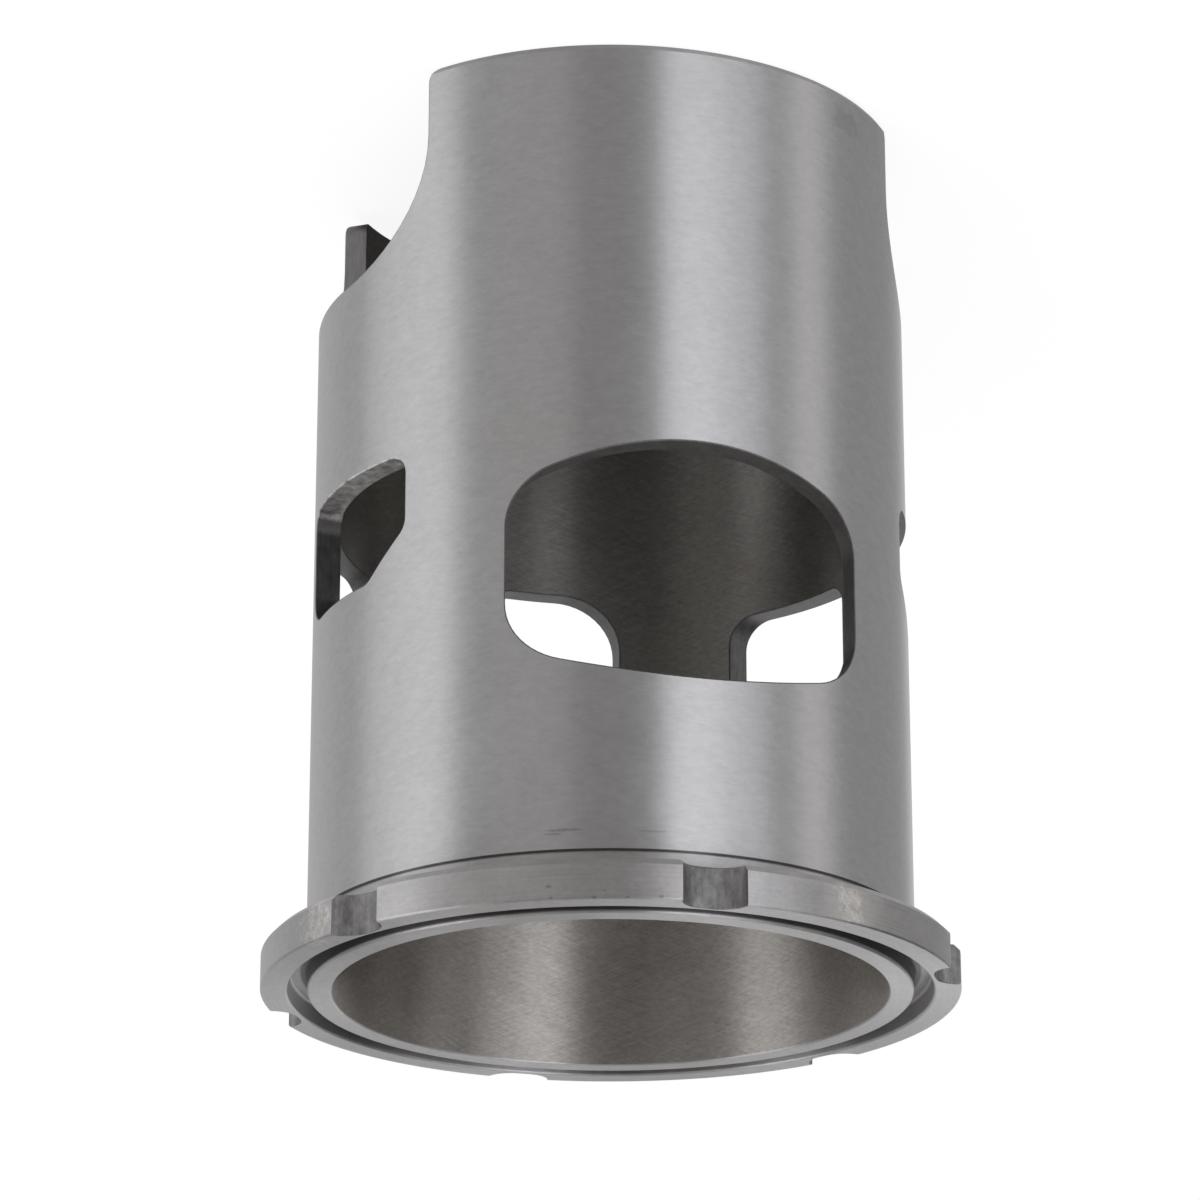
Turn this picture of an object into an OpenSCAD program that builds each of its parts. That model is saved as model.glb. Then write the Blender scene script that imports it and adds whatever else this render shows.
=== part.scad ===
// Ported cylinder liner of a two-stroke engine, turned and milled from one piece.
// The bore lies on Z and the skirt end stands at z = 0. The head face is uppermost
// and the exhaust port opens towards -Y. Depths are measured down from the head face,
// as port heights are, and port angles are measured from the exhaust port.

/* [Barrel] */
// Diameter of the finished bore
bore_d = 80; // [70:0.5:90]
// Thickness of the wall between the bore and the barrel's outside, which seats in the block
wall_t = 3.75; // [3.3:0.05:5.5]
// Length from the head face to the skirt end
liner_len = 130; // [126:0.5:160]
// Small break on the head end of the bore
bore_break = 0.2; // [0.1:0.05:0.8]
// Lead-in inside the skirt end, measured across the wall
lead_in = 0.6; // [0.2:0.1:1.2]
// Length of that lead-in along the bore
lead_in_len = 1.2; // [0.4:0.1:4]
// Chamfer outside the skirt end, measured across the wall
skirt_chamfer = 0.6; // [0.3:0.1:1.4]
// Length of that chamfer along the barrel
skirt_chamfer_len = 0.9; // [0.5:0.1:4]

/* [Flange] */
// How far the locating flange stands out from the barrel
flange_w = 6.5; // [6:0.1:10]
// Thickness of the flange, from the head face to its seat
flange_t = 6; // [5:0.1:9]
// Chamfer on the seat side of the rim
flange_chamfer = 1; // [0.3:0.1:1.5]
// Small break on the other turned edges
edge_break = 0.25; // [0.1:0.05:0.3]
// Width of the grinding relief under the seat
relief_w = 2.6; // [1:0.1:5]
// Depth of the grinding relief below the barrel's surface
relief_depth = 0.35; // [0.2:0.05:0.8]

/* [Seal groove] */
// Thickness of the lip between the bore and the groove
lip_t = 3.5; // [2:0.1:3.8]
// Width of the ring groove in the head face
groove_w = 2.85; // [1.5:0.05:3]
// Depth of the ring groove
groove_depth = 3; // [1.5:0.1:3.6]
// Corner radius at the floor of the groove
groove_r = 0.5; // [0.2:0.1:0.7]

/* [Rim notches] */
// Width of the six scallops in the rim
notch_w = 9.4; // [8.2:0.1:12]
// Radius of the corners of a scallop
notch_r = 3.8; // [1.5:0.1:4]
// Depth of each scallop below the rim
notch_depth = 3.1; // [1.5:0.1:3.4]
// Angle of the two scallops beside the front one
notch_front_deg = 61; // [50:1:75]
// Angle of the two scallops beside the rear one
notch_rear_deg = 121; // [110:1:135]

/* [Exhaust port] */
// Angle that the exhaust port spans at the bore
exhaust_span = 79.6; // [62:0.2:84]
// Depth of the crown of its roof
exhaust_top = 34.1; // [28:0.1:40]
// Depth of its floor at the middle
exhaust_bottom = 68.9; // [66:0.1:75]
// Radius of the bowed roof
exhaust_roof_r = 75; // [60:1:160]
// Radius of the bowed floor
exhaust_floor_r = 53; // [45:1:120]
// Radius of its four corners
exhaust_corner_r = 9; // [5:0.5:11]

/* [Transfer ports] */
// Depth of the roof of the transfer and boost ports
transfer_top = 53.3; // [48:0.1:58]
// Angle of the two front transfer ports
front_deg = 77.3; // [75:0.1:79]
// Angle that a front transfer port spans at the bore
front_span = 41.9; // [28:0.1:43]
// Depth of the floor of a front transfer port
front_bottom = 70.8; // [69:0.1:76]
// Width of the slant that takes off its roof corner beside the exhaust port
slant_w = 7.8; // [5:0.1:9]
// Height of that slant
slant_h = 6.5; // [5:0.1:8]
// Radius of its roof corner beside the rear transfer port
front_exit_r = 5; // [2:0.5:7]
// Angle of the two rear transfer ports
rear_deg = 119.2; // [118:0.1:124]
// Angle that a rear transfer port spans at the bore
rear_span = 33.7; // [22:0.1:35]
// Depth of the floor of a rear transfer port
rear_bottom = 69.9; // [68:0.1:76]
// Radius of its floor corner beside the boost port
rear_exit_r = 4.5; // [2:0.5:8]
// Radius of the other corners of the transfer ports
port_corner_r = 3; // [1.5:0.5:4.5]

/* [Boost port] */
// Angle that the boost port spans at the bore
boost_span = 36.7; // [26:0.1:41]
// Depth of the floor of the boost port
boost_bottom = 75.1; // [72:0.1:80]
// Radius of its floor corners
boost_floor_r = 9; // [4:0.5:9]

/* [Skirt notches] */
// Angle that each of the two skirt notches spans
skirt_notch_deg = 72.9; // [60:0.1:80]
// Height of a skirt notch above the skirt end
skirt_notch_h = 28.4; // [22:0.1:34]
// Radius of the upper corners of a skirt notch
skirt_notch_r = 18; // [10:0.5:20]
// Radius that rounds the feet of the two skirt lobes
foot_r = 2.2; // [1:0.1:4]
// How much shorter the rear lobe is than the front one
rear_rise = 2; // [0.5:0.1:4]

/* [Hidden] */
$fn = 180;
// Overlap that carries each cut clear of the surface that it opens
clear = 1;
// How far a corner's arc runs past the edges beside it, to meet each at one clean point
corner_overrun = 0.01;
bore_r = bore_d / 2;
body_r = bore_r + wall_t;
flange_r = body_r + flange_w;
lip_r = bore_r + lip_t;
groove_outer_r = lip_r + groove_w;
seat_z = liner_len - flange_t;
relief_r = body_r - relief_depth;
relief_z = seat_z - relief_w;
// Reach of the port cutters, from inside the bore to outside the barrel
port_start = bore_r / 4;
port_end = body_r + clear;
transfer_z = liner_len - transfer_top;
exhaust_w = port_width(exhaust_span);
exhaust_fillet_x = exhaust_w / 2 - exhaust_corner_r;
roof_centre_z = liner_len - exhaust_top - exhaust_roof_r;
floor_centre_z = liner_len - exhaust_bottom + exhaust_floor_r;
// Heights of the fillet centres that touch the port's side and its bowed edge
roof_fillet_z = roof_centre_z
    + sqrt(pow(exhaust_roof_r - exhaust_corner_r, 2) - pow(exhaust_fillet_x, 2));
floor_fillet_z = floor_centre_z
    - sqrt(pow(exhaust_floor_r - exhaust_corner_r, 2) - pow(exhaust_fillet_x, 2));

// Width of a straight cut that spans this angle at the bore
function port_width(span) = 2 * bore_r * sin(span / 2);

// Half section of the barrel and flange, revolved about the bore
module barrel() {
    rotate_extrude()
        polygon([
            [bore_r + lead_in, 0],
            [body_r - skirt_chamfer, 0],
            [body_r, skirt_chamfer_len],
            [body_r, relief_z - relief_depth],
            [relief_r, relief_z],
            [relief_r, seat_z],
            [flange_r - flange_chamfer, seat_z],
            [flange_r, seat_z + flange_chamfer],
            [flange_r, liner_len - edge_break],
            [flange_r - edge_break, liner_len],
            [bore_r + bore_break, liner_len],
            [bore_r, liner_len - bore_break],
            [bore_r, lead_in_len]
        ]);
}

// Part of an outline that a rounded corner takes away, outside radius r about
// the point at, between the directions from and to
module corner_waste(at, r, from, to) {
    reach = r + clear;
    tip = reach / cos((to - from) / 2);
    middle = (from + to) / 2;
    translate(at)
        difference() {
            polygon([
                [0, 0],
                reach * [cos(from), sin(from)],
                tip * [cos(middle), sin(middle)],
                reach * [cos(to), sin(to)]
            ]);
            circle(r + corner_overrun);
        }
}

// Outline with level top and bottom. The radii are those of the corners at the
// right and left of the top, then at the left and right of the bottom.
module cut_outline(w, top, bottom, radii) {
    side = w / 2;
    difference() {
        translate([-side, bottom])
            square([w, top - bottom]);
        corner_waste([side - radii[0], top - radii[0]], radii[0], 0, 90);
        corner_waste([radii[1] - side, top - radii[1]], radii[1], 90, 180);
        corner_waste([radii[2] - side, bottom + radii[2]], radii[2], 180, 270);
        corner_waste([side - radii[3], bottom + radii[3]], radii[3], 270, 360);
    }
}

// Waste of a slanted corner, at the left end of the roof, with both its ends rounded
module slant_waste(side, top, r) {
    slant_deg = atan2(slant_h, slant_w);
    rise = clear * slant_h / slant_w;
    polygon([
        [-side - clear, top - slant_h - rise],
        [slant_w + clear - side, top + rise],
        [-side - clear, top + rise]
    ]);
    corner_waste([r - side, top - slant_h - r * tan(45 - slant_deg / 2)], r, 90 + slant_deg, 180);
    corner_waste([slant_w - side + r * tan(slant_deg / 2), top - r], r, 90, 90 + slant_deg);
}

// Outline of the exhaust port, whose roof and floor are bowed
module exhaust_outline() {
    roof_deg = atan2(roof_fillet_z - roof_centre_z, exhaust_fillet_x);
    floor_deg = atan2(floor_fillet_z - floor_centre_z, exhaust_fillet_x);
    difference() {
        intersection() {
            translate([-exhaust_w / 2, 0])
                square([exhaust_w, liner_len]);
            translate([0, roof_centre_z])
                circle(exhaust_roof_r);
            translate([0, floor_centre_z])
                circle(exhaust_floor_r);
        }
        for (side = [0, 1])
            mirror([side, 0]) {
                corner_waste([exhaust_fillet_x, roof_fillet_z], exhaust_corner_r, 0, roof_deg);
                corner_waste([exhaust_fillet_x, floor_fillet_z], exhaust_corner_r, floor_deg, 0);
            }
    }
}

// Straight cut through the wall, along a line from the bore at the given angle
module port_cut(angle) {
    rotate([0, 0, angle])
        translate([0, -port_start, 0])
            rotate([90, 0, 0])
                linear_extrude(port_end - port_start)
                    children();
}

// The transfer ports of one side, in front of and behind the side of the liner
module transfer_cuts() {
    r = port_corner_r;
    front_w = port_width(front_span);
    port_cut(front_deg)
        difference() {
            cut_outline(front_w, transfer_z, liner_len - front_bottom, [front_exit_r, r, r, r]);
            slant_waste(front_w / 2, transfer_z, r);
        }
    port_cut(rear_deg)
        cut_outline(port_width(rear_span), transfer_z, liner_len - rear_bottom, [r, r, r, rear_exit_r]);
}

module boost_cut() {
    port_cut(180)
        cut_outline(port_width(boost_span), transfer_z, liner_len - boost_bottom,
            [port_corner_r, port_corner_r, boost_floor_r, boost_floor_r]);
}

// What the rear lobe loses to stand back from the skirt end
module rear_lobe_cut() {
    slope = skirt_chamfer_len / skirt_chamfer;
    rotate_extrude(angle = 180)
        polygon([
            [bore_r - clear, -clear],
            [body_r + clear, -clear],
            [body_r + clear, rear_rise + skirt_chamfer_len + clear * slope],
            [body_r - skirt_chamfer, rear_rise],
            [bore_r + lead_in, rear_rise],
            [bore_r, rear_rise + lead_in_len],
            [bore_r - clear, rear_rise + lead_in_len]
        ]);
}

// Half of a skirt notch: its side lies on a radius, its upper corner is round
// and the foot beside it, whose lobe ends at end_z, is rounded off
module skirt_notch_half(end_z) {
    half_w = body_r * sin(skirt_notch_deg / 2) + clear;
    difference() {
        translate([0, -clear])
            square([half_w, skirt_notch_h + clear]);
        corner_waste([skirt_notch_r, skirt_notch_h - skirt_notch_r], skirt_notch_r, 90, 180);
    }
    difference() {
        translate([-foot_r, end_z - clear])
            square([foot_r + clear, foot_r + clear]);
        translate([-foot_r, end_z + foot_r])
            circle(foot_r);
    }
}

// Both halves of the notch at the right side of the liner, at +X
module skirt_notch() {
    for (side = [0, 1])
        mirror([0, side, 0])
            port_cut(90 - skirt_notch_deg / 2)
                skirt_notch_half(side * rear_rise);
}

module groove_cut() {
    floor_z = liner_len - groove_depth;
    mid_r = lip_r + groove_w / 2;
    rotate_extrude()
        difference() {
            translate([lip_r, floor_z])
                square([groove_w, groove_depth + clear]);
            for (side = [0, 1])
                translate([mid_r, 0])
                    mirror([side, 0])
                        corner_waste([groove_w / 2 - groove_r, floor_z + groove_r], groove_r,
                            270, 360);
        }
    // Edge breaks at the mouth of the groove
    rotate_extrude()
        polygon([
            [lip_r - edge_break, liner_len + edge_break],
            [lip_r - edge_break, liner_len],
            [lip_r, liner_len - edge_break],
            [groove_outer_r, liner_len - edge_break],
            [groove_outer_r + edge_break, liner_len],
            [groove_outer_r + edge_break, liner_len + edge_break]
        ]);
}

// The six scallops in the rim of the flange
module rim_notches() {
    angles = [0, notch_front_deg, notch_rear_deg, 180, -notch_rear_deg, -notch_front_deg];
    for (angle = angles)
        rotate([0, 0, angle])
            translate([0, 0, seat_z - clear])
                linear_extrude(flange_t + 2 * clear)
                    cut_outline(notch_w, notch_depth - flange_r, -notch_r - flange_r,
                        [notch_r, notch_r, clear, clear]);
}

module cylinder_liner() {
    color("silver")
        difference() {
            barrel();
            groove_cut();
            rim_notches();
            port_cut(0)
                exhaust_outline();
            for (side = [0, 1])
                mirror([side, 0, 0]) {
                    transfer_cuts();
                    skirt_notch();
                }
            boost_cut();
            rear_lobe_cut();
        }
}

cylinder_liner();
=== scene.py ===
"""Looks of a ported cylinder liner, in the part's own frame and in metres.

The liner stands on its skirt end, with the bore on Z, the head face uppermost and
the exhaust port towards -Y. One turned and milled piece stands for the solid model.
"""

from math import atan2, cos, degrees, hypot, radians, sin, sqrt, tan

import bpy
from mathutils import Matrix, Vector


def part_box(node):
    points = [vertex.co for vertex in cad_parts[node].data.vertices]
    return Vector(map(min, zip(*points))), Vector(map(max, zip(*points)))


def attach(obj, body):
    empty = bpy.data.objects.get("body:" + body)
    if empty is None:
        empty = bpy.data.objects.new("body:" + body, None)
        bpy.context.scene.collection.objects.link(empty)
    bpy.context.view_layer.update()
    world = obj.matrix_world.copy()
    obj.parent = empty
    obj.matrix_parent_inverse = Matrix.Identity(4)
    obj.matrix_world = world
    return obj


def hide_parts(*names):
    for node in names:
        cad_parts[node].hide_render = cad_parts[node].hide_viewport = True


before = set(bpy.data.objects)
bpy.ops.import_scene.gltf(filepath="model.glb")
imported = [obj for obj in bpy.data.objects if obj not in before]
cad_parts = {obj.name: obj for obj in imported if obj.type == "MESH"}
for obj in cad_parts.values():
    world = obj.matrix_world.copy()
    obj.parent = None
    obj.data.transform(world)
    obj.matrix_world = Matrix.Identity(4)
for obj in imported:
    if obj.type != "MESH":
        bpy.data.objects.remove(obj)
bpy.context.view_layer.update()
_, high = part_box("cylinder_liner")

MM = 0.001

# Fineness of the shapes
SEGMENTS = 512              # round the turned blank
ARC_STEPS = 12              # along a rounded corner
BOW_STEPS = 36              # along the bowed roof or floor of the exhaust port
GROOVE_STEPS = 4            # along a corner of the ring groove
merge_gap = 0.001 * MM
sharp_angle = 25            # degrees from which a turned corner is rounded
smooth_angle = 35           # degrees up to which the shading runs on over an edge

# Barrel and flange, as turned
bore_r = 40 * MM
body_r = 43.75 * MM
flange_r = high.x
liner_len = high.z
bore_break = 0.2 * MM
lead_in = 0.6 * MM
lead_in_len = 1.2 * MM
skirt_chamfer = 0.6 * MM
skirt_chamfer_len = 0.9 * MM
flange_t = 6 * MM
flange_chamfer = 1 * MM
edge_break = 0.25 * MM
relief_w = 2.6 * MM
relief_depth = 0.35 * MM
seat_z = liner_len - flange_t
relief_z = seat_z - relief_w
relief_r = body_r - relief_depth

# Ring groove in the head face
lip_r = 43.5 * MM
groove_w = 2.85 * MM
groove_depth = 3 * MM
groove_corner_r = 0.5 * MM
groove_outer_r = lip_r + groove_w
groove_z = liner_len - groove_depth

# Scallops in the flange's rim, with their headings from the exhaust
notch_w = 9.4 * MM
notch_r = 3.8 * MM
notch_depth = 3.1 * MM
notch_headings = (0, 61, 121, 180, -121, -61)

# Ports: widths, depths below the head face, corner radii and headings from the exhaust
exhaust_heading = 0
exhaust_w = 51.2 * MM
exhaust_top = 34.1 * MM
exhaust_bottom = 68.9 * MM
exhaust_roof_r = 75 * MM
exhaust_floor_r = 53 * MM
exhaust_corner_r = 9 * MM
transfer_top = 53.3 * MM
front_heading = 77.3
front_w = 28.6 * MM
front_bottom = 70.8 * MM
front_exit_r = 5 * MM
slant_w = 7.8 * MM
slant_h = 6.5 * MM
rear_heading = 119.2
rear_w = 23.2 * MM
rear_bottom = 69.9 * MM
rear_exit_r = 4.5 * MM
boost_heading = 180
boost_w = 25.2 * MM
boost_bottom = 75.1 * MM
boost_floor_r = 9 * MM
port_corner_r = 3 * MM

# Skirt notches and the rear lobe between them
skirt_notch_heading = 90
skirt_notch_angle = 72.9
skirt_notch_h = 28.4 * MM
skirt_notch_r = 18 * MM
foot_r = 2.2 * MM
rear_rise = 2 * MM
rear_rise_below = foot_r + 2 * MM   # height below which the rear lobe is moved

# Finishing of the edges
port_break = 0.22 * MM              # rounding of the port edges at both skins of the wall
port_break_angles = (60, 30, 0)     # steps of that rounding, in degrees
turned_break = 0.06 * MM            # rounding of the turned corners
face_break = 0.12 * MM              # break of the scallops at the head face
seat_break = 0.5 * MM               # rounding of the scallops at the seat

# Cutters
overlap = 0.2 * MM          # reach beyond a skin or a face
reach = 3 * MM              # reach beyond the wall
past_middle = 1 * MM        # reach of each half of a skirt notch beyond its middle
cutter_start = 25 * MM      # distance from the bore axis at which a port cutter begins
skin_step = 1.2 * MM        # length of the pieces in which a straight side follows a skin
skin_gap = 0.05 * MM        # distance from a skin up to which a face is part of it
upright_limit = 0.05        # slope of the normal up to which a face counts as upright

# Finishes: base grey, warmth, roughness, and how far the gloss spreads up and down
ground_tone = 0.5
ground_warmth = 0.004
ground_roughness = 0.38
ground_spread = 0.9
turned_tone = 0.46
turned_warmth = 0.012
turned_roughness = 0.42
turned_spread = 0.85
honed_tone = 0.345
honed_painted_light = 0.165          # painted light, added towards the head face, so the bore is darker deeper in
honed_painted_light_z = (94, 112)    # heights in mm between which it comes in
honed_warmth = 0.045
honed_roughness = 0.45
honed_spread = 0.95
hone_slope = 0.42           # rise of the honing scratches
milled_tone = 0.16
milled_warmth = 0.015
milled_roughness = 0.5
milled_spread = 0
floor_gain = 0.42           # added on the floor of the right front transfer port
floor_gain_x = (31, 33)     # distances in mm towards +X between which it comes in
rim_gain = 0.1              # added in the scallops
jamb_gain = 0.1             # added on the jambs of the skirt notches
undercut_shade_share = 0.7         # painted shade: share of the grey taken off the relief's lower cone, under the flange
groove_shade_share = 0.75          # painted shade, the same on the groove's inner wall
blue_loss = 1.4             # blue lost for each part of warmth, which is added to red
spread_turn = 0.25          # turn from level to upright, in which the gloss spreads
mark_edge = (1, 0.6)        # shares of a mark's half size between which it comes in

# Marks: place and size in mm, then the share of the grey that a dark one takes
smudges = [((18.3, -39.7, 118.3), (6.4, 6.4, 0.5), 0.3),
           ((19.5, -39.1, 118.8), (3.4, 3.4, 0.4), 0.25),
           ((6.6, -43.2, 118.5), (5.2, 5.2, 0.45), 0.2),
           ((-25.7, -35.4, 4.4), (8, 8, 5), 0.11)]
pits = [((21.7, -45.3, 129.7), (0.7, 0.7, 0.42), 0.3),
        ((16.3, -47.5, 129.8), (0.9, 0.9, 0.54), 0.3),
        ((12.0, -48.8, 129.8), (0.6, 0.6, 0.36), 0.3),
        ((7.5, -49.7, 129.6), (0.9, 0.9, 0.54), 0.3),
        ((15.0, -48.0, 128.9), (0.6, 0.6, 0.36), 0.3),
        ((22.0, -45.2, 128.1), (1.0, 1.0, 0.6), 0.3)]
flush = ((23.5, -36.9, 59.7), (14, 14, 7))      # reddish, under the exhaust port
flush_warmth = 0.016
rubs = [((-20.7, -45.8, 127.2), (6, 6, 7)), ((47.0, -16.8, 126.8), (7, 9, 8))]
rub_gain = 0.3              # added where a rubbed patch is bare
rub_loss = 0.07             # taken off over the whole patch
rub_warmth = 0.02
nicks = [((-31.5, -33.2, 130), (1.4, 0.6, 0.8)), ((-32.6, -31.9, 130), (1.4, 0.6, 0.8))]
nick_gain = 0.4

# Camera: azimuth from the exhaust port towards +X, place in mm, direction of view, and its
# focal length in pixels of a picture that is so many pixels wide
camera_azimuth = 16.4
camera_place = (192.4, -653.7, 313.5)
camera_forward = (-0.2638, 0.9038, -0.3370)
focal_pixels = 4902.62
picture_pixels = 1200
sensor_mm = 36
clip_start = 0.01

# Floor, world and lamp
floor_size = 6
floor_tone = 0.9
floor_roughness = 0.9
floor_white = 1.04          # brightness of the white that is seen in place of the paint
floor_white_share = 0.85    # the rest is lit paint, which takes the shadow
world_light = 0.75
world_white = 0.3           # added where the world is seen, to make it white
lamp_place = (0.5, -0.7, 1.3)
lamp_target = (0, 0, 0.06)
lamp_size = 0.9
lamp_power = 10

# Cloth of the light tent round the liner: each panel's start and end, in degrees from the
# camera towards the picture's right, its brightness in the lower and upper tier, and its warmth
tent_panels = [(-180, -128, 0.66, 0.5, 0), (-128, -104, 0.6, 0.2, -0.02),
               (-104, -90, 1.0, 0.6, -0.01), (-90, -60, 1.0, 2.3, -0.015),
               (-60, -46, 0.45, 0.3, 0.01), (-46, -14, 0.55, 0.35, 0.01),
               (-14, 20, 0.38, 0.12, 0.015), (20, 42, 1.1, 2.9, -0.04),
               (42, 60, 0.9, 1.6, -0.04), (60, 74, 0.47, 0.3, -0.01),
               (74, 90, 0.95, 0.9, 0.01), (90, 150, 0.46, 0.1, 0), (150, 180, 0.85, 1.0, -0.02)]
panel_step = 5              # degrees along a panel from one column of points to the next
tent_r = 1.0
tent_sides = 64             # of the round bottom and roof
tent_low = -1.0
tent_middle = 0.38          # height at which the upper tier begins
tent_high = 1.6
tent_bottom_tone = 0.5
tent_roof_tone = 0.5
cloth_green = 0.99          # green of the cloth, where the red and blue of a plain one are 1
shade_r = 43 * MM           # radius of the dark disc under the bore, a painted shadow of the floor there
shade_z = -0.5 * MM
shade_tone = 0.03


def deselect_all():
    if bpy.context.object and bpy.context.object.mode != "OBJECT":
        bpy.ops.object.mode_set(mode="OBJECT")
    bpy.ops.object.select_all(action="DESELECT")


def pick(piece):
    """Select one piece alone and make it the active one."""
    deselect_all()
    bpy.context.view_layer.objects.active = piece
    piece.select_set(True)


def named(name):
    """Name the new primitive that the last operator added, and return it."""
    made = bpy.context.object
    made.name = name
    made.data.name = name
    return made


def turn(name, section):
    """Solid of revolution, drawn ring by ring round a closed section of (radius, z) points."""
    deselect_all()
    previous_r, previous_z = section[0]
    bpy.ops.mesh.primitive_circle_add(
        vertices=SEGMENTS, radius=previous_r, location=(0, 0, previous_z))
    blank = named(name)
    bpy.ops.object.mode_set(mode="EDIT")
    bpy.ops.mesh.select_all(action="SELECT")
    for r, z in section[1:] + section[:1]:
        scale = r / previous_r
        bpy.ops.mesh.extrude_edges_move(
            TRANSFORM_OT_translate={"value": (0, 0, z - previous_z)})
        bpy.ops.transform.resize(value=(scale, scale, 1), center_override=(0, 0, z))
        previous_r, previous_z = r, z
    bpy.ops.mesh.select_all(action="SELECT")
    bpy.ops.mesh.remove_doubles(threshold=merge_gap)
    bpy.ops.mesh.normals_make_consistent(inside=False)
    bpy.ops.object.mode_set(mode="OBJECT")
    bpy.ops.object.transform_apply(location=True, rotation=True, scale=True)
    return blank


def lofted(name, rings, finish):
    """Solid drawn out through closed rings, each a list of as many points."""
    deselect_all()
    bpy.ops.mesh.primitive_circle_add(vertices=len(rings[0]), radius=bore_r, fill_type="NGON")
    solid = named(name)
    mesh = solid.data
    for vertex, point in zip(mesh.vertices, rings[0]):
        vertex.co = point
    bpy.ops.object.mode_set(mode="EDIT")
    bpy.ops.mesh.select_all(action="SELECT")
    for before, after in zip(rings, rings[1:]):
        bpy.ops.mesh.extrude_region_move()
        bpy.ops.object.mode_set(mode="OBJECT")
        for vertex in mesh.vertices:
            if vertex.select:
                gaps = [(point - vertex.co).length_squared for point in before]
                vertex.co = after[gaps.index(min(gaps))]
        bpy.ops.object.mode_set(mode="EDIT")
    bpy.ops.mesh.select_all(action="SELECT")
    bpy.ops.mesh.normals_make_consistent(inside=False)
    bpy.ops.mesh.quads_convert_to_tris()
    bpy.ops.object.mode_set(mode="OBJECT")
    mesh.materials.append(finish)
    return solid


def turn_to(piece, heading):
    """Turn a piece round the bore, from the exhaust to a heading in degrees."""
    piece.data.transform(Matrix.Rotation(radians(heading), 4, "Z"))


def mirror(piece):
    """Mirror a piece in the plane through the exhaust and boost ports."""
    piece.data.transform(Matrix.Scale(-1, 4, (1, 0, 0)))
    piece.data.flip_normals()


def arc(centre, r, start, end, steps=ARC_STEPS):
    """Points along an arc, with its angles in degrees."""
    angles = [radians(start + (end - start) * i / steps) for i in range(steps + 1)]
    return [(centre[0] + r * cos(a), centre[1] + r * sin(a)) for a in angles]


def upright_outline(w, top, bottom, radii, grow):
    """Outline with level roof and floor, every edge pushed out by grow. The radii are those
    of the corners at the right and left of the roof, then at the left and right of the floor."""
    side = w / 2
    corners = ((side, top, -1, -1), (-side, top, 1, -1), (-side, bottom, 1, 1), (side, bottom, -1, 1))
    points = []
    for index, (x, z, inward_x, inward_z) in enumerate(corners):
        r = radii[index]
        centre = (x + inward_x * r, z + inward_z * r)
        points += arc(centre, r + grow, 90 * index, 90 * index + 90)
    return points


def front_outline(grow):
    """Outline of a front transfer port, with a slanted roof corner beside the exhaust port."""
    r = port_corner_r
    side = front_w / 2
    top = liner_len - transfer_top
    bottom = liner_len - front_bottom
    slant = degrees(atan2(slant_h, slant_w))
    upper = (slant_w - side + r * tan(radians(slant / 2)), top - r)
    lower = (r - side, top - slant_h - r * tan(radians(45 - slant / 2)))
    return (arc((side - front_exit_r, top - front_exit_r), front_exit_r + grow, 0, 90)
            + arc(upper, r + grow, 90, 90 + slant)
            + arc(lower, r + grow, 90 + slant, 180)
            + arc((r - side, bottom + r), r + grow, 180, 270)
            + arc((side - r, bottom + r), r + grow, 270, 360))


def rear_outline(grow):
    r = port_corner_r
    return upright_outline(rear_w, liner_len - transfer_top, liner_len - rear_bottom,
                           (r, r, r, rear_exit_r), grow)


def boost_outline(grow):
    return upright_outline(boost_w, liner_len - transfer_top, liner_len - boost_bottom,
                           (port_corner_r, port_corner_r, boost_floor_r, boost_floor_r), grow)


def exhaust_outline(grow):
    """Outline of the exhaust port, whose roof and floor are bowed."""
    side = exhaust_w / 2 - exhaust_corner_r
    roof_centre = liner_len - exhaust_top - exhaust_roof_r
    floor_centre = liner_len - exhaust_bottom + exhaust_floor_r
    roof_fillet = roof_centre + sqrt((exhaust_roof_r - exhaust_corner_r) ** 2 - side ** 2)
    floor_fillet = floor_centre - sqrt((exhaust_floor_r - exhaust_corner_r) ** 2 - side ** 2)
    roof_angle = degrees(atan2(roof_fillet - roof_centre, side))
    floor_angle = degrees(atan2(floor_centre - floor_fillet, side))
    corner = exhaust_corner_r + grow
    roof = arc((0, roof_centre), exhaust_roof_r + grow, roof_angle, 180 - roof_angle, BOW_STEPS)
    floor = arc((0, floor_centre), exhaust_floor_r + grow, 180 + floor_angle, 360 - floor_angle,
                BOW_STEPS)
    return (arc((side, roof_fillet), corner, 0, roof_angle) + roof[1:-1]
            + arc((-side, roof_fillet), corner, 180 - roof_angle, 180)
            + arc((-side, floor_fillet), corner, 180, 180 + floor_angle) + floor[1:-1]
            + arc((side, floor_fillet), corner, 360 - floor_angle, 360))


def notch_half_outline(grow):
    """Half of a skirt notch, from its jamb at x = 0 to past the middle of the notch."""
    below = -reach
    far_x = body_r * sin(radians(skirt_notch_angle / 2)) + past_middle
    upper_corner = arc((skirt_notch_r, skirt_notch_h - skirt_notch_r), skirt_notch_r + grow, 180, 90)
    foot = arc((-foot_r, foot_r), foot_r - grow, 270, 360)
    return ([(far_x, below), (far_x, skirt_notch_h + grow)] + upper_corner[::-1]
            + foot[::-1] + [(-foot_r, below)])


def scallop_outline(grow):
    """Outline of a scallop seen along the bore, in a rim that faces -Y."""
    centre_x = notch_w / 2 - notch_r
    centre_y = notch_depth - notch_r - flange_r
    side = notch_w / 2 + grow
    outside_y = -flange_r - notch_r - reach
    return ([(side, outside_y)] + arc((centre_x, centre_y), notch_r + grow, 0, 90)
            + arc((-centre_x, centre_y), notch_r + grow, 90, 180) + [(-side, outside_y)])


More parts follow.
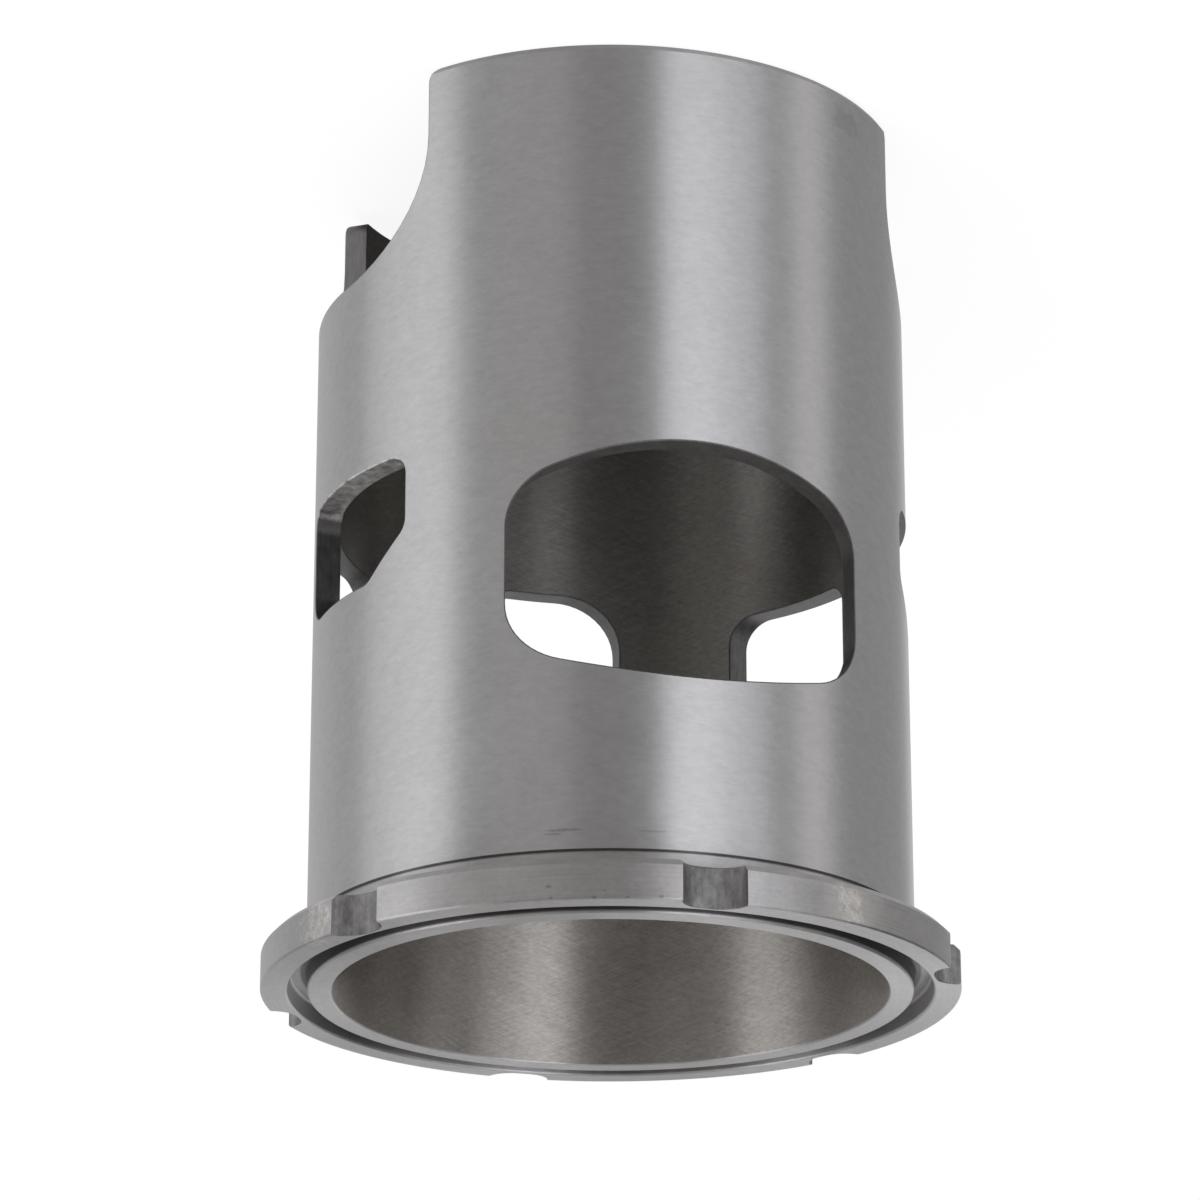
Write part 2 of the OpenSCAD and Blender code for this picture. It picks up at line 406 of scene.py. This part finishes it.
def skin_rings():
    """Rings of a cutter through the wall, each a distance from the axis and a growth of the
    outline. The growth rounds the port's edges at the bore and at the outside."""
    steps = [(port_break * (1 - cos(radians(a))), port_break * (1 - sin(radians(a))))
             for a in port_break_angles]
    first_grow, first_depth = steps[0]
    flare = port_break + overlap * (port_break - first_grow) / first_depth
    inner = [(bore_r - overlap, flare)] + [(bore_r + depth, grow) for grow, depth in steps]
    outer = [(body_r - depth, grow) for grow, depth in reversed(steps)] + [(body_r + overlap, flare)]
    return inner, outer, flare


def divided(points, counts):
    """Closed outline with each of its sides divided into as many pieces as its count."""
    fine = []
    for index, count in enumerate(counts):
        start = Vector(points[index])
        end = Vector(points[(index + 1) % len(points)])
        fine += [start.lerp(end, step / count) for step in range(count)]
    return fine


def wall_cutter(name, outline, heading, finish):
    """Cutter for one opening in the wall. Its outline runs straight along the heading, in
    degrees from the exhaust, and is pressed to the radius of each skin that it passes."""
    plain = outline(0)
    counts = [max(1, round(abs(start[0] - end[0]) / skin_step))
              for start, end in zip(plain, plain[1:] + plain[:1])]
    inner, outer, flare = skin_rings()
    rings = [[Vector((x, -cutter_start, z)) for x, z in divided(outline(flare), counts)]]
    for r, grow in inner + outer:
        rings.append([Vector((x, -sqrt(r ** 2 - x ** 2), z)) for x, z in divided(outline(grow), counts)])
    rings.append([Vector((x, -body_r - reach, z)) for x, z in divided(outline(flare), counts)])
    cutter = lofted(name, rings, finish)
    turn_to(cutter, heading)
    return cutter


def notch_half_cutter(lead, finish):
    """Cutter for the half of the right skirt notch that is nearer the exhaust, for a lead
    of -1, or for its other half, for 1."""
    cutter = wall_cutter("notch_half_cutter", notch_half_outline, 0, finish)
    if lead > 0:
        mirror(cutter)
    turn_to(cutter, skirt_notch_heading + lead * skirt_notch_angle / 2)
    return cutter


def scallop_cutter(heading, finish):
    """Cutter for one scallop in the rim, flared at the seat and at the head face. Each of its
    rings has a height and a growth, and the fourth lies on the rounding over the seat."""
    levels = [(seat_z - reach, seat_break + overlap), (seat_z - overlap, seat_break + overlap),
              (seat_z, seat_break), (seat_z + 0.3 * seat_break, 0.35 * seat_break),
              (seat_z + seat_break, 0), (liner_len - face_break, 0), (liner_len, face_break),
              (liner_len + overlap, face_break + overlap), (liner_len + reach, face_break + overlap)]
    rings = [[Vector((x, y, z)) for x, y in scallop_outline(grow)] for z, grow in levels]
    cutter = lofted("scallop_cutter", rings, finish)
    turn_to(cutter, heading)
    return cutter


def left_copy(cutter):
    """Copy of a cutter on the left side of the exhaust port."""
    copy = cutter.copy()
    copy.data = cutter.data.copy()
    copy.name = cutter.name + "_left"
    bpy.context.collection.objects.link(copy)
    mirror(copy)
    return copy


def cut(piece, cutters):
    """Take each cutter out of the piece, and delete it."""
    for cutter in cutters:
        pick(piece)
        modifier = piece.modifiers.new("cut", "BOOLEAN")
        modifier.object = cutter
        modifier.operation = "DIFFERENCE"
        modifier.solver = "EXACT"
        modifier.material_mode = "TRANSFER"
        bpy.ops.object.modifier_apply(modifier=modifier.name)
        bpy.data.objects.remove(cutter)


def raise_rear_lobe(piece):
    """Stand the rear lobe of the skirt back from the skirt end."""
    for vertex in piece.data.vertices:
        if vertex.co.y > 0 and vertex.co.z < rear_rise_below:
            vertex.co.z += rear_rise


def liner_section():
    """Half section of the liner, from the skirt end up the bore and down the outside."""
    corner_z = groove_z + groove_corner_r
    groove_inner = arc((lip_r + groove_corner_r, corner_z), groove_corner_r, 180, 270, GROOVE_STEPS)
    groove_outer = arc((groove_outer_r - groove_corner_r, corner_z), groove_corner_r, 270, 360,
                       GROOVE_STEPS)
    return ([(bore_r + lead_in, 0), (bore_r, lead_in_len),
             (bore_r, liner_len - bore_break), (bore_r + bore_break, liner_len),
             (lip_r - edge_break, liner_len), (lip_r, liner_len - edge_break)]
            + groove_inner + groove_outer
            + [(groove_outer_r, liner_len - edge_break), (groove_outer_r + edge_break, liner_len),
               (flange_r - edge_break, liner_len), (flange_r, liner_len - edge_break),
               (flange_r, seat_z + flange_chamfer), (flange_r - flange_chamfer, seat_z),
               (relief_r, seat_z), (relief_r, relief_z), (body_r, relief_z - relief_depth),
               (body_r, skirt_chamfer_len), (body_r - skirt_chamfer, 0)])


def round_turned_corners(blank):
    pick(blank)
    bpy.ops.object.mode_set(mode="EDIT")
    bpy.ops.mesh.select_mode(type="EDGE")
    bpy.ops.mesh.select_all(action="DESELECT")
    bpy.ops.mesh.edges_select_sharp(sharpness=radians(sharp_angle))
    bpy.ops.mesh.bevel(offset=turned_break, segments=2, affect="EDGES")
    bpy.ops.object.mode_set(mode="OBJECT")


class Shade:
    """Output of a shader node, on which maths is written as plain expressions."""

    def __init__(self, socket):
        self.socket = socket

    def node(self, kind, inputs, output=0, **settings):
        """Any other node of the same tree, fed with numbers, colours or shades."""
        tree = self.socket.id_data
        made = tree.nodes.new("ShaderNode" + kind)
        for name, value in settings.items():
            setattr(made, name, value)
        for key, value in inputs.items():
            if isinstance(value, Shade):
                tree.links.new(value.socket, made.inputs[key])
            else:
                made.inputs[key].default_value = value
        return Shade(made.outputs[output])

    def maths(self, operation, first, second):
        return self.node("Math", {0: first, 1: second}, operation=operation)

    def __add__(self, other):
        return self.maths("ADD", self, other)

    def __radd__(self, other):
        return self.maths("ADD", other, self)

    def __sub__(self, other):
        return self.maths("SUBTRACT", self, other)

    def __rsub__(self, other):
        return self.maths("SUBTRACT", other, self)

    def __mul__(self, other):
        return self.maths("MULTIPLY", self, other)

    def __rmul__(self, other):
        return self.maths("MULTIPLY", other, self)

    def __truediv__(self, other):
        return self.maths("DIVIDE", self, other)

    def __rtruediv__(self, other):
        return self.maths("DIVIDE", other, self)

    def __pow__(self, other):
        return self.maths("POWER", self, other)


def new_material(name):
    """A material and its node tree."""
    material = bpy.data.materials.new(name)
    material.use_nodes = True
    return material, material.node_tree


def feed(shader, name, value):
    shader.id_data.links.new(value.socket, shader.inputs[name])


def new_metal(name, roughness_spread):
    """A worked metal with its shader, and the surface's place in mm. Its lines run level
    round the bore, so the gloss spreads up and down."""
    material, tree = new_material(name)
    shader = tree.nodes["Principled BSDF"]
    shader.inputs["Metallic"].default_value = 1
    shader.inputs["Anisotropic"].default_value = roughness_spread
    shader.inputs["Anisotropic Rotation"].default_value = spread_turn
    metres = Shade(tree.nodes.new("ShaderNodeTexCoord").outputs["Object"])
    place = metres.node("VectorMath", {0: metres, "Scale": 1 / MM}, operation="SCALE")
    return material, shader, place


def coordinate(place, axis):
    return place.node("SeparateXYZ", {0: place}, output=axis)


def noise(place, blot, detail, roughness, seed=0):
    """Noise about 0.5, whose blots measure about blot (x, y, z)."""
    stretched = place.node("VectorMath", {0: place, 1: [1 / size for size in blot], 2: [seed, seed, seed]},
                           operation="MULTIPLY_ADD")
    return place.node("TexNoise", {"Vector": stretched, "Scale": 1.0, "Detail": detail,
                                   "Roughness": roughness})


def ramp(value, start, end):
    """Smooth step from 0 at start to 1 at end."""
    return value.node("MapRange", {"Value": value, "From Min": start, "From Max": end},
                      interpolation_type="SMOOTHSTEP")


def distance_out(place):
    """Distance from the bore's axis."""
    x = coordinate(place, "X")
    y = coordinate(place, "Y")
    return (x * x + y * y) ** 0.5


def round_the_bore(place):
    """Turns a place into (cosine, sine, radius + height), so that noise runs round the bore."""
    r = distance_out(place)
    return place.node("CombineXYZ", {0: coordinate(place, "X") / r, 1: coordinate(place, "Y") / r,
                                     2: r + coordinate(place, "Z")})


def varied(tone, *layers):
    """A tone with layers of noise over it, each given with its strength."""
    for layer, strength in layers:
        tone = tone + strength * (layer - 0.5)
    return tone


def spot(place, centre, size, ragged, seed):
    """Mask of a mark at a place in mm, 1 inside it, with a ragged edge."""
    offset = place.node("VectorMath", {0: place, 1: centre}, operation="SUBTRACT")
    scaled = place.node("VectorMath", {0: offset, 1: [2 / extent for extent in size]}, operation="MULTIPLY")
    distance = place.node("VectorMath", {0: scaled}, output="Value", operation="LENGTH")
    grain = min(size) / 3
    edge = noise(place, blot=(grain, grain, grain), detail=3.0, roughness=0.6, seed=seed)
    return ramp(varied(distance, (edge, ragged)), *mark_edge)


def darkened(grey, place, marks, ragged):
    """Grey with dark marks, each a centre, a size and the share of the grey that it takes."""
    for index, (centre, size, share) in enumerate(marks):
        grey = grey * (1 - share * spot(place, centre, size, ragged, index))
    return grey


def tinted(grey, warmth):
    """Colour of the given grey, a little warm."""
    return grey.node("CombineColor", {0: grey * (1 + warmth), 1: grey, 2: grey * (1 - blue_loss * warmth)})


def emboss(shader, height, strength, depth):
    """Bump, whose depth in mm stands for one unit of height."""
    feed(shader, "Normal", height.node("Bump", {"Strength": strength, "Distance": depth * MM,
                                                "Height": height}))


def ground_iron():
    """Outside of the barrel: fine level grinding lines, faint blotches and a few smudges."""
    material, shader, place = new_metal("ground_iron", ground_spread)
    lines = noise(round_the_bore(place), blot=(0.03, 0.03, 0.2), detail=3.0, roughness=0.7)
    grain = noise(place, blot=(2.4, 2.4, 1.0), detail=4.0, roughness=0.75, seed=3)
    blotches = noise(place, blot=(9, 9, 14), detail=3.0, roughness=0.55, seed=7)
    grey = varied(ground_tone, (lines, 0.1), (grain, 0.2), (blotches, 0.08))
    grey = darkened(grey, place, smudges, ragged=1.8)
    flushed = spot(place, *flush, ragged=1.6, seed=21)
    feed(shader, "Base Color", tinted(grey, ground_warmth + flush_warmth * flushed))
    feed(shader, "Roughness", varied(ground_roughness, (blotches, 0.08), (grain, 0.08)))
    emboss(shader, lines + grain, strength=0.3, depth=0.01)
    return material


def turned_iron():
    """Flange, lip, groove and chamfers: turning lines round the bore, pits, nicks and rubbed
    patches. The relief's lower cone and the groove's inner wall are darkened with painted shade."""
    material, shader, place = new_metal("turned_iron", turned_spread)
    r = distance_out(place)
    z = coordinate(place, "Z")
    lines = noise(round_the_bore(place), blot=(0.25, 0.25, 0.12), detail=3.0, roughness=0.7)
    blotches = noise(place, blot=(5, 5, 5), detail=3.0, roughness=0.6, seed=5)
    grain = noise(place, blot=(0.9, 0.9, 0.6), detail=4.0, roughness=0.7, seed=13)
    grey = varied(turned_tone, (lines, 0.2), (blotches, 0.16), (grain, 0.16))
    # Each mask fades in over part of a millimetre, beside the height or radius that bounds it
    cone_z = relief_z / MM
    above_skirt = ramp(z, cone_z - 6.4, cone_z - 5.4)
    # Painted shade: the relief's lower cone, under the flange, is darkened as if in its shadow
    undercut_shade = ramp(z, cone_z - 0.05, cone_z - 0.15) * above_skirt
    lip_side = ramp(r, lip_r / MM + 1.3, lip_r / MM + 0.8)
    above_floor = ramp(z, groove_z / MM - 1, groove_z / MM - 0.5)
    # Painted shade: the groove's inner wall, beside the lip, is darkened as if shaded down in the narrow
    # groove
    groove = ramp(z, liner_len / MM - 0.3, liner_len / MM - 0.6) * lip_side * above_floor
    grey = grey * (1 - undercut_shade_share * undercut_shade) * (1 - groove_shade_share * groove)
    grey = darkened(grey, place, pits, ragged=1.2)
    warmth = turned_warmth
    bare = ramp(noise(place, blot=(0.9, 0.9, 0.9), detail=5.0, roughness=0.85, seed=11), 0.3, 0.72)
    for index, (centre, size) in enumerate(rubs):
        patch = spot(place, centre, size, ragged=1.6, seed=index)
        grey = grey + patch * (rub_gain * bare - rub_loss)
        warmth = warmth + rub_warmth * patch
    for index, (centre, size) in enumerate(nicks):
        grey = grey + nick_gain * spot(place, centre, size, ragged=1.2, seed=index)
    feed(shader, "Base Color", tinted(grey, warmth))
    feed(shader, "Roughness", varied(turned_roughness, (blotches, 0.12)))
    emboss(shader, lines, strength=0.15, depth=0.01)
    return material


def honed_iron():
    """Bore: crossed honing scratches over a darker ground, with painted shade deeper in, away from the head
    face.
    """
    material, shader, place = new_metal("honed_iron", honed_spread)
    z = coordinate(place, "Z")
    around = place.maths("ARCTAN2", coordinate(place, "Y"), coordinate(place, "X")) * (bore_r / MM)
    crossed = []
    for slope, seed in ((-hone_slope, 2), (hone_slope, 9)):
        along = place.node("CombineXYZ", {0: around, 1: z + slope * around})
        crossed.append(noise(along, blot=(9, 0.12, 1), detail=2.0, roughness=0.7, seed=seed))
    rising, falling = crossed
    blotches = noise(place, blot=(8, 8, 8), detail=3.0, roughness=0.6, seed=4)
    grain = noise(place, blot=(1.1, 1.1, 0.45), detail=4.0, roughness=0.75, seed=17)
    # Painted shade: the bore's grey is lower deeper inside and rises towards the head face
    grey_shaded_deep = honed_tone + honed_painted_light * ramp(z, *honed_painted_light_z)
    grey = grey_shaded_deep * varied(1, (rising, 0.75), (falling, 0.75), (blotches, 0.3), (grain, 0.9))
    feed(shader, "Base Color", tinted(grey, honed_warmth))
    feed(shader, "Roughness", varied(honed_roughness, (blotches, 0.1)))
    emboss(shader, rising + falling, strength=0.1, depth=0.01)
    return material


def milled_iron():
    """Cut faces of the ports and scallops: dark, with upright tool lines and stains, and paler
    on one port floor, in the scallops and on the jambs of the skirt notches."""
    material, shader, place = new_metal("milled_iron", milled_spread)
    x = coordinate(place, "X")
    z = coordinate(place, "Z")
    lines = noise(place, blot=(0.25, 0.25, 4), detail=3.0, roughness=0.7, seed=1)
    stains = noise(place, blot=(1.6, 1.6, 2.4), detail=3.0, roughness=0.65, seed=6)
    grey = varied(milled_tone, (lines, 0.16), (stains, 0.16))
    # Masks that fade in over some millimetres beside the port's floor, the seat and the notch
    floor_z = (liner_len - front_bottom) / MM
    near_floor = ramp(z, floor_z + 0.9, floor_z + 0.3) * ramp(z, floor_z - 1.5, floor_z - 1)
    floors = ramp(x, *floor_gain_x) * near_floor
    rim = ramp(z, seat_z / MM - 2, seat_z / MM - 1)
    jambs = ramp(z, skirt_notch_h / MM + 4, skirt_notch_h / MM)
    grey = grey + floors * varied(floor_gain, (stains, 1.2)) + rim * varied(rim_gain, (stains, 0.3))
    grey = grey + jamb_gain * jambs
    feed(shader, "Base Color", tinted(grey, milled_warmth))
    feed(shader, "Roughness", varied(milled_roughness, (stains, 0.2)))
    emboss(shader, lines, strength=0.5, depth=0.02)
    return material


def set_finishes(liner):
    """Give the barrel's outside and the bore their own finishes. The rest keeps what it has."""
    skins = ((body_r, ground_iron()), (bore_r, honed_iron()))
    slots = {}
    for r, finish in skins:
        slots[r] = len(liner.data.materials)
        liner.data.materials.append(finish)
    for face in liner.data.polygons:
        turned = liner.data.materials[face.material_index].name == "turned_iron"
        if turned and abs(face.normal.z) < upright_limit:
            for r, slot in slots.items():
                if abs(hypot(face.center.x, face.center.y) - r) < skin_gap:
                    face.material_index = slot
                    break


def make_liner():
    """The whole part: a turned blank, with every opening cut out of it."""
    liner = turn("liner", liner_section())
    round_turned_corners(liner)
    liner.data.materials.append(turned_iron())
    milled = milled_iron()
    right_side = [wall_cutter("front_cutter", front_outline, front_heading, milled),
                  wall_cutter("rear_cutter", rear_outline, rear_heading, milled),
                  notch_half_cutter(-1, milled), notch_half_cutter(1, milled)]
    cut(liner, [wall_cutter("exhaust_cutter", exhaust_outline, exhaust_heading, milled),
                wall_cutter("boost_cutter", boost_outline, boost_heading, milled)]
        + right_side + [left_copy(cutter) for cutter in right_side]
        + [scallop_cutter(heading, milled) for heading in notch_headings])
    raise_rear_lobe(liner)
    set_finishes(liner)
    pick(liner)
    bpy.ops.object.shade_smooth_by_angle(angle=radians(smooth_angle))
    modifier = liner.modifiers.new("weighted normals", "WEIGHTED_NORMAL")
    modifier.keep_sharp = True
    bpy.ops.object.modifier_apply(modifier=modifier.name)
    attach(liner, "root")
    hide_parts("cylinder_liner")


def background_rays(tree):
    """1 for rays from the camera, for reflections and through glass, and 0 for diffuse light."""
    path = tree.nodes.new("ShaderNodeLightPath")
    seen = Shade(path.outputs["Is Camera Ray"])
    for name in ("Is Glossy Ray", "Is Transmission Ray"):
        seen = seen.maths("MAXIMUM", seen, Shade(path.outputs[name]))
    return seen


def make_floor():
    """Pale floor. Most of it is seen as plain white, and the rest is paint that takes the
    shadow. The metal shows the light tent in its place."""
    deselect_all()
    bpy.ops.mesh.primitive_plane_add(size=floor_size)
    floor = named("floor")
    material, tree = new_material("floor_paint")
    shader = tree.nodes["Principled BSDF"]
    shader.inputs["Base Color"].default_value = (floor_tone, floor_tone, floor_tone, 1)
    shader.inputs["Roughness"].default_value = floor_roughness
    white = tree.nodes.new("ShaderNodeEmission")
    white.inputs["Strength"].default_value = floor_white
    share = background_rays(tree) * floor_white_share
    mixed = share.node("MixShader", {0: share, 1: Shade(shader.outputs[0]), 2: Shade(white.outputs[0])})
    tree.links.new(mixed.socket, tree.nodes["Material Output"].inputs["Surface"])
    floor.data.materials.append(material)
    floor.visible_glossy = False


def hang_cloth(panel, bright, warmth):
    """Give a panel of the tent its tone. It only shows as a reflection in the metal."""
    material, tree = new_material(panel.name)
    tree.nodes.remove(tree.nodes["Principled BSDF"])
    cloth = tree.nodes.new("ShaderNodeEmission")
    cloth.inputs["Color"].default_value = (1 + max(warmth, 0), cloth_green, 1 - warmth, 1)
    cloth.inputs["Strength"].default_value = bright
    tree.links.new(cloth.outputs[0], tree.nodes["Material Output"].inputs["Surface"])
    material.cycles.emission_sampling = "NONE"
    panel.data.materials.append(material)
    panel.visible_camera = False
    panel.visible_diffuse = False
    panel.visible_transmission = False
    panel.visible_shadow = False


def make_light_tent():
    """Two tiers of pale and grey panels round the liner, a bottom and a roof, and a dark disc
    under the bore, a painted shadow of the floor there."""
    for name, r, z, tone in (("tent_bottom", tent_r, tent_low, tent_bottom_tone),
                             ("tent_roof", tent_r, tent_high, tent_roof_tone),
                             ("shaded_floor", shade_r, shade_z, shade_tone)):
        deselect_all()
        bpy.ops.mesh.primitive_circle_add(vertices=tent_sides, radius=r, fill_type="NGON",
                                          location=(0, 0, z))
        hang_cloth(named(name), tone, 0)
    for index, (start, end, lower, upper, warmth) in enumerate(tent_panels):
        for tier, bottom, top, tone in (("lower", tent_low, tent_middle, lower),
                                        ("upper", tent_middle, tent_high, upper)):
            deselect_all()
            bpy.ops.mesh.primitive_grid_add(x_subdivisions=max(2, round((end - start) / panel_step)),
                                            y_subdivisions=2, size=2)
            panel = named(f"tent_{tier}_{index}")
            for vertex in panel.data.vertices:
                angle = radians(start + (end - start) * (vertex.co.x + 1) / 2 - camera_azimuth)
                z = bottom + (top - bottom) * (vertex.co.y + 1) / 2
                vertex.co = (-tent_r * sin(angle), -tent_r * cos(angle), z)
            hang_cloth(panel, tone, warmth)


def make_camera():
    """Camera at the photograph's viewing angle, turned over as the photograph is."""
    data = bpy.data.cameras.new("camera")
    data.sensor_width = sensor_mm
    data.lens = focal_pixels / picture_pixels * sensor_mm
    data.clip_start = clip_start
    camera = bpy.data.objects.new("camera", data)
    bpy.context.collection.objects.link(camera)
    forward = Vector(camera_forward).normalized()
    down = (Vector((0, 0, 1)) - forward * forward.z).normalized()
    right = forward.cross(-down)
    turn_over = Matrix((right, -down, -forward)).transposed().to_4x4()
    camera.matrix_world = Matrix.Translation(Vector(camera_place) * MM) @ turn_over
    bpy.context.scene.camera = camera


def make_lights():
    """An even white world and one wide lamp, which together light a surface at about 1."""
    world = bpy.data.worlds.new("studio")
    bpy.context.scene.world = world
    world.use_nodes = True
    tree = world.node_tree
    background = tree.nodes["Background"]
    background.inputs["Color"].default_value = (1, 1, 1, 1)
    strength = world_light + world_white * background_rays(tree)
    tree.links.new(strength.socket, background.inputs["Strength"])
    data = bpy.data.lights.new("key", "AREA")
    data.shape = "RECTANGLE"
    data.size = lamp_size
    data.size_y = lamp_size
    data.energy = lamp_power
    lamp = bpy.data.objects.new("key", data)
    bpy.context.collection.objects.link(lamp)
    lamp.location = lamp_place
    aim = Vector(lamp_target) - Vector(lamp_place)
    lamp.rotation_euler = aim.to_track_quat("-Z", "Y").to_euler()
    lamp.visible_glossy = False


make_liner()
make_floor()
make_light_tent()
make_camera()
make_lights()

bpy.context.scene.view_settings.view_transform = "Standard"
